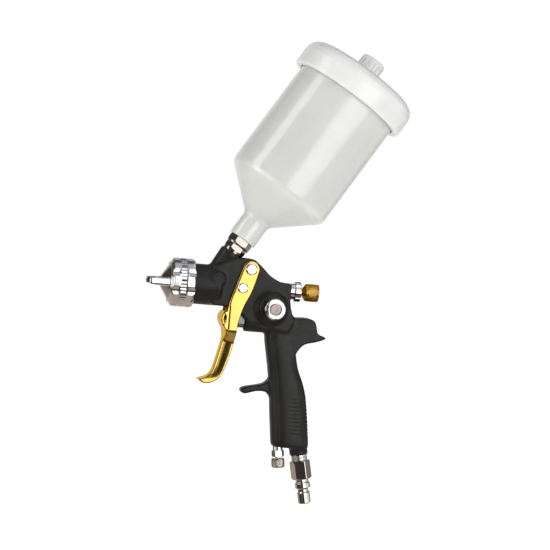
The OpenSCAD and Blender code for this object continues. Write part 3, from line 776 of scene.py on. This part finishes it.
def horn(side, sign):
    """One horn of the air cap, with black discs that paint the shade in its outlet hole and in the two jet holes
    in the cap's face on the same side.
    """
    arm = lofted("horn_" + side, [
        (-57.2, 6.0, 14.2, 3.9), (-59.5, 6.2, 14.5, 3.7), (-61.6, 6.6, 14.7, 3.5),
        (-63.2, 7.8, 14.8, 3.35), (-65, 9.3, 15.0, 3.2), (-67, 10.4, 15.15, 3.05),
        (-69.5, 11.3, 15.35, 2.85), (-71.6, 11.9, 15.5, 2.7), (-72.5, 12.2, 15.4, 2.5),
        (-73.0, 12.7, 15.0, 2.0), (-73.2, 13.4, 14.4, 1.0)
    ], DESIGN @ Matrix.Rotation(math.pi if sign < 0 else 0, 4, "X"))
    place(arm, "air_cap", CHROME, "air_cap")
    # The outlet: a black disc at the horn's end, painted shade in place of the hole.
    at_outlet = frame_along(design_point(-71.3, sign * 11.85, 0), (-0.31, -0.95 * sign, 0))
    outlet = turned("outlet_" + side, [(-0.5, 0), (-0.5, 1.6), (0.12, 1.6), (0.12, 0)],
                    at_outlet, around=32)
    place(outlet, "air_cap", RUBBER_AND_HOLE_SHADE)
    # The jets: black dots in the cap's face, painted shade in place of the holes.
    for z in (-3.4, 3.4):
        at_jet = frame_along(design_point(0, sign * 3.6, z), (1, 0, 0))
        jet = turned("jet_%s_%d" % (side, z > 0), [(-63.03, 0), (-63.03, 0.5), (-61.5, 0.5), (-61.5, 0)],
                     at_jet, around=24)
        place(jet, "air_cap", RUBBER_AND_HOLE_SHADE)


def thread(pitch, depth, z0, z1):
    """Cuts a screw thread into a turned shape between z0 and z1."""
    def shape(a, z, r):
        if not z0 < z < z1:
            return r
        along = (z / pitch - a / (2 * math.pi)) % 1
        return r - depth * abs(2 * along - 1)
    return shape


def adjuster():
    """The needle's screwed housing, its threaded spindle and the knurled knob behind them."""
    piece = turned("adjuster", [
        (35.5, 3), (35.5, 4.78), (38.22, 4.78), (38.22, 5.6, 0.15), (39, 6.3, 0.2), (42.15, 6.3),
        (42.2, 7.2, 0.1), (42.7, 8, 0.2), (46.6, 8, 0.2), (47.2, 7.4, 0.1), (47.2, 3)
    ], SPRAY, closed=True, around=240, shape=flutes(6, 0.75, 23, 42.2, 47.3, run_out=0.1), longest=0.5)
    place(piece, "gun", CHROME, "adjuster_housing")
    spindle = turned("spindle", [
        (31, 0), (31, 4.7, 0.2), (33.2, 4.7, 0.2), (33.2, 2.9), (46.6, 2.9, 0.3), (46.6, 2), (57, 2),
        (57, 0)
    ], SPRAY, around=64, shape=thread(1, 0.35, 34, 46), longest=0.12)
    place(spindle, "fluid_spindle", GOLD, "fluid_spindle")
    knob = turned("fluid_grip", [
        (48.6, 2.1), (48.6, 3.2, 0.2), (51, 6.6, 0.4), (51.6, 6.9, 0.2), (52.4, 6.9), (52.6, 6.6),
        (53.0, 6.6), (53.2, 6.9), (59.7, 6.9), (59.9, 6.6), (60.3, 6.6), (60.5, 6.9),
        (60.9, 6.9, 0.2), (61.3, 6.4, 0.2), (61.3, 0), (57.4, 0), (57.4, 2.1)
    ], SPRAY, closed=True, around=432, shape=flutes(36, 0.12, 7, 53.3, 59.6, run_out=0.3), longest=0.5)
    place(knob, "fluid_knob", BRONZE, "fluid_knob", slot="gold")


def fan_valve():
    """The bezel on the body, the fluted knob behind it and the knob's socket screw."""
    housing = turned("fan_bezel", [
        (6, 2.6), (6, 4.98), (15.02, 4.98), (15.02, 10.6), (17.6, 10.6, 0.4), (19, 9.6, 0.4),
        (19, 7.4, 0.2), (18.2, 7.4), (18.2, 2.6)
    ], FAN, closed=True, around=128)
    place(housing, "gun", BODY, "fan_valve_housing", slot="gunmetal")
    knob = turned("fan_grip", [
        (21, 2.6), (21, 7, 0.3), (21.8, 7.8, 0.2), (28.9, 8.2, 0.25), (29.8, 7.5, 0.35),
        (30, 5, 0.15), (28.4, 4.7, 0.1), (28, 4.6), (28, 2.6)
    ], FAN, closed=True, around=288, shape=flutes(24, 0.3, 11, 22.4, 27.8), longest=0.6)
    place(knob, "fan_knob", CHROME, "fan_knob")
    socket = flats(6, 2.6)
    screw = turned("fan_screw", [
        (28.1, 0), (28.1, 4.4), (29.0, 4.4, 0.3), (29.2, 3.9, 0.2), (29.2, 1.5), (28.5, 1.5),
        (28.5, 0)
    ], FAN, around=96, shape=lambda a, z, r: socket(a, z, r) if r <= 1.5 else r)
    place(screw, "fan_knob", SCREW, "fan_knob_screw", slot="stainless")


def pins():
    """The trigger's pivot stud and the two lift pins, with their domed heads."""
    at_pivot = frame_along(design_point(PIVOT_X, 0, 15), NEAR)
    stud = turned("stud", [
        (17.0, 0), (16.97, 3.6, 0.3), (16.3, 4.6, 0.25), (15.2, 4.6), (15.2, 2.9), (-15.2, 2.9),
        (-15.2, 1.5), (-4, 1.5), (-4, 0)
    ], at_pivot, around=96)
    place(stud, "gun", CHROME, "trigger_stud")
    for side, axis in (("near", NEAR), ("far", FAR)):
        pin = turned("pin_" + side, [
            (2.3, 0), (2.3, 1.5), (15.12, 1.5), (15.12, 4.1), (16.1, 4.1, 0.25), (16.8, 3.2, 0.3),
            (16.82, 0)
        ], frame_along(design_point(-0.5, 0, 0), axis), around=96)
        place(pin, "trigger", CHROME, "lift_pins")


def air_valve_nut():
    """The hexagon nut behind the trigger that holds the air valve's stem."""
    piece = turned("valve_nut", [
        (-0.8, 2.1), (-0.8, 5.3, 0.2), (-0.2, 6.35), (4.1, 6.35), (4.58, 5.6), (4.58, 5.48),
        (10, 5.48), (10, 2.1)
    ], VALVE, closed=True, around=192, shape=flats(6, 11, 30, z1=4.6), longest=0.5, sharp_deg=25)
    place(piece, "gun", GUNMETAL, "air_valve_nut")


def regulator():
    """The air regulator at the front of the handle's foot: its gland and its knurled knob."""
    gland = turned("gland", [
        (-8, 1.9), (-8, 3.98), (1.4, 3.98), (1.4, 4.5), (1.8, 4.97), (6, 4.97), (6.4, 4.5),
        (6.4, 1.9)
    ], REGULATOR, closed=True, around=144, shape=flats(6, 8.6, 30, z0=1.3), longest=0.6, sharp_deg=25)
    place(gland, "gun", CHROME, "regulator_gland")
    knob = turned("regulator_grip", [
        (7.6, 1.9), (7.6, 4.6, 0.2), (8.2, 5.2, 0.2), (14, 5.2, 0.4), (15, 4.4, 0.4), (15, 0),
        (14, 0), (14, 1.9)
    ], REGULATOR, closed=True, around=288, longest=0.5,
        shape=flutes(36, 0.12, 7.6, 8.6, 13.5, run_out=0.3))
    # The knob is chrome; its darker metal colour is painted shade.
    place(knob, "regulator_knob", SHADED_CHROME, "regulator_knob", slot="chrome")


def inlet():
    """The collar under the handle and the quick air plug with its hexagon."""
    collar = turned("collar", [
        (0.02, 5.6), (0.02, 6.2), (1.2, 6.2), (1.5, 5.95), (1.9, 5.95), (2.2, 6.2), (3.9, 6.2, 0.2),
        (4.2, 5.9), (4.2, 5.6)
    ], PLUG, closed=True, around=96)
    place(collar, "gun", SATIN, "inlet_collar", slot="chrome")
    plug = turned("plug", [
        (-9, 3), (-9, 5.5), (4.3, 5.5), (4.3, 7.1), (5.3, 8.08), (18.0, 8.08), (19.2, 6.8),
        (19.2, 5), (21.4, 5, 0.3), (22.2, 6, 0.3), (26, 6, 0.4), (27, 4.3, 0.4), (29, 4.3, 0.4),
        (30, 5, 0.3), (37.8, 5, 0.2), (38.6, 4.2, 0.2), (38.6, 3)
    ], PLUG, closed=True, around=192, shape=flats(6, 14, 40, 4.2, 19.3), longest=0.6, sharp_deg=25)
    place(plug, "gun", NICKEL, "inlet_plug", slot="stainless")


def cup_fitting():
    """The screwed connector under the cup and the locknut that holds it."""
    connector = turned("connector", [
        (20.5, 5.4), (20.5, 7.1), (31.1, 7.1), (31.1, 8.6, 0.2), (32.1, 8.6), (32.3, 8.3),
        (32.6, 8.3), (32.8, 8.6), (33.35, 8.6), (33.4, 8.3), (33.8, 8.88), (37.1, 8.88), (37.5, 8.3),
        (37.5, 7), (56, 7), (56, 5.4)
    ], CUP, closed=True, around=192, shape=flats(6, 15.4, 30, 33.38, 37.6), longest=0.6, sharp_deg=25)
    # The connector is chrome; its darker, warmer metal colour is a painted reflection.
    place(connector, "cup", SHADED_CHROME, "cup_connector", slot="chrome")
    nut = turned("locknut", [
        (37.6, 7.05), (37.6, 9.5, 0.2), (38.8, 9.7, 0.2), (39.0, 9.2), (39.4, 9.8), (43.5, 9.8),
        (43.9, 9.2), (43.9, 7.05)
    ], CUP, closed=True, around=192, shape=flats(6, 17, 30, z0=38.9), longest=0.6, sharp_deg=25)
    # The locknut is chrome; its darker, warmer metal colour is a painted reflection.
    place(nut, "cup", SHADED_CHROME, "cup_locknut", slot="chrome")


def cup():
    """The cup's cone and straight wall, with the ridges of the lid's thread near the top."""
    ridges = [point for t in (185, 188, 191, 194)
              for point in ((t, 43), (t + 1, 43.8, 0.3), (t + 2, 43.8, 0.3), (t + 3, 43))]
    piece = turned("cup_shell", [
        (44, 7.05), (44, 10.85, 0.2), (44.8, 11.25, 0.2), (61.6, 11.25, 2), (64.4, 12.6, 2),
        (87.6, 39.4, 3), (90.6, 42.1, 2), (93.6, 43, 2), (184, 43), *ridges, (198, 43, 0.4),
        (198, 41, 0.4), (94.4, 41, 3), (91, 38.6, 2), (65.6, 10.65, 1), (60, 9.2), (57.4, 9.2),
        (57.4, 7.05)
    ], CUP, closed=True, around=192, longest=2.5, sharp_deg=40)
    place(piece, "cup", CUP_PLASTIC, "cup_body")


def lid():
    """The lid with its vent spout, and the fluted cap over the spout."""
    piece = turned("lid_shell", [
        (181, 44.2), (181, 48.3, 0.4), (182, 49.3, 0.5), (194.5, 49.45, 2.5), (198.8, 48.5, 2.5),
        (202.2, 46.3, 2.5), (204.1, 43.2, 2), (204.5, 40, 1), (204.5, 7.4, 0.6), (211, 7.4, 0.4),
        (211, 3.2, 0.3), (201.9, 3.2), (201.8, 41.5, 0.5), (200.4, 44.2)
    ], CUP, closed=True, around=192, longest=2, sharp_deg=40)
    place(piece, "lid", LID_PLASTIC, "cup_lid")
    cap = turned("vent_shell", [
        (203, 0), (203, 2.9), (214.8, 2.9), (214.8, 7.6), (206.8, 7.6), (206.8, 9.4, 0.2),
        (207.4, 10.1, 0.3), (216.4, 10.1, 0.8), (218.2, 9.7, 0.7), (219, 8.4, 0.5), (219, 0)
    ], CUP, around=144, shape=flutes(12, 0.5, 16, 207.2, 216.5), longest=0.8)
    place(cap, "vent_cap", LID_PLASTIC, "vent_cap")


def coil(name, x0, x1, mean_r, wire_r, turns, matrix):
    """A helical spring along local Z, with tube walls."""
    per_turn, sides = 36, 10
    rings = turns * per_turn
    verts, faces = [], []
    for i in range(rings + 1):
        a = 2 * math.pi * i / per_turn
        along = x0 + wire_r + (x1 - x0 - 2 * wire_r) * i / rings
        for k in range(sides):
            b = 2 * math.pi * k / sides
            r = mean_r + wire_r * math.cos(b)
            verts.append((r * math.cos(a), r * math.sin(a), along + wire_r * math.sin(b)))
    for i in range(rings):
        for k in range(sides):
            n = (k + 1) % sides
            faces.append([i * sides + k, i * sides + n, (i + 1) * sides + n, (i + 1) * sides + k])
    faces += [list(range(sides)), [rings * sides + k for k in range(sides)]]
    return make_object(name, verts, faces, matrix)


def springs():
    needle = coil("needle_coil", 8.1, 29.9, 3.6, 0.5, 8, SPRAY)
    place(needle, "gun", WIRE, "needle_spring")
    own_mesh(needle)
    valve = coil("valve_coil", 22.7, 38.4, 3.7, 0.5, 6, VALVE)
    place(valve, "gun", WIRE, "air_valve_spring")
    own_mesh(valve)


body()
badge()
trigger()
air_cap_ring()
air_cap()
adjuster()
fan_valve()
pins()
air_valve_nut()
regulator()
inlet()
cup_fitting()
cup()
lid()
springs()
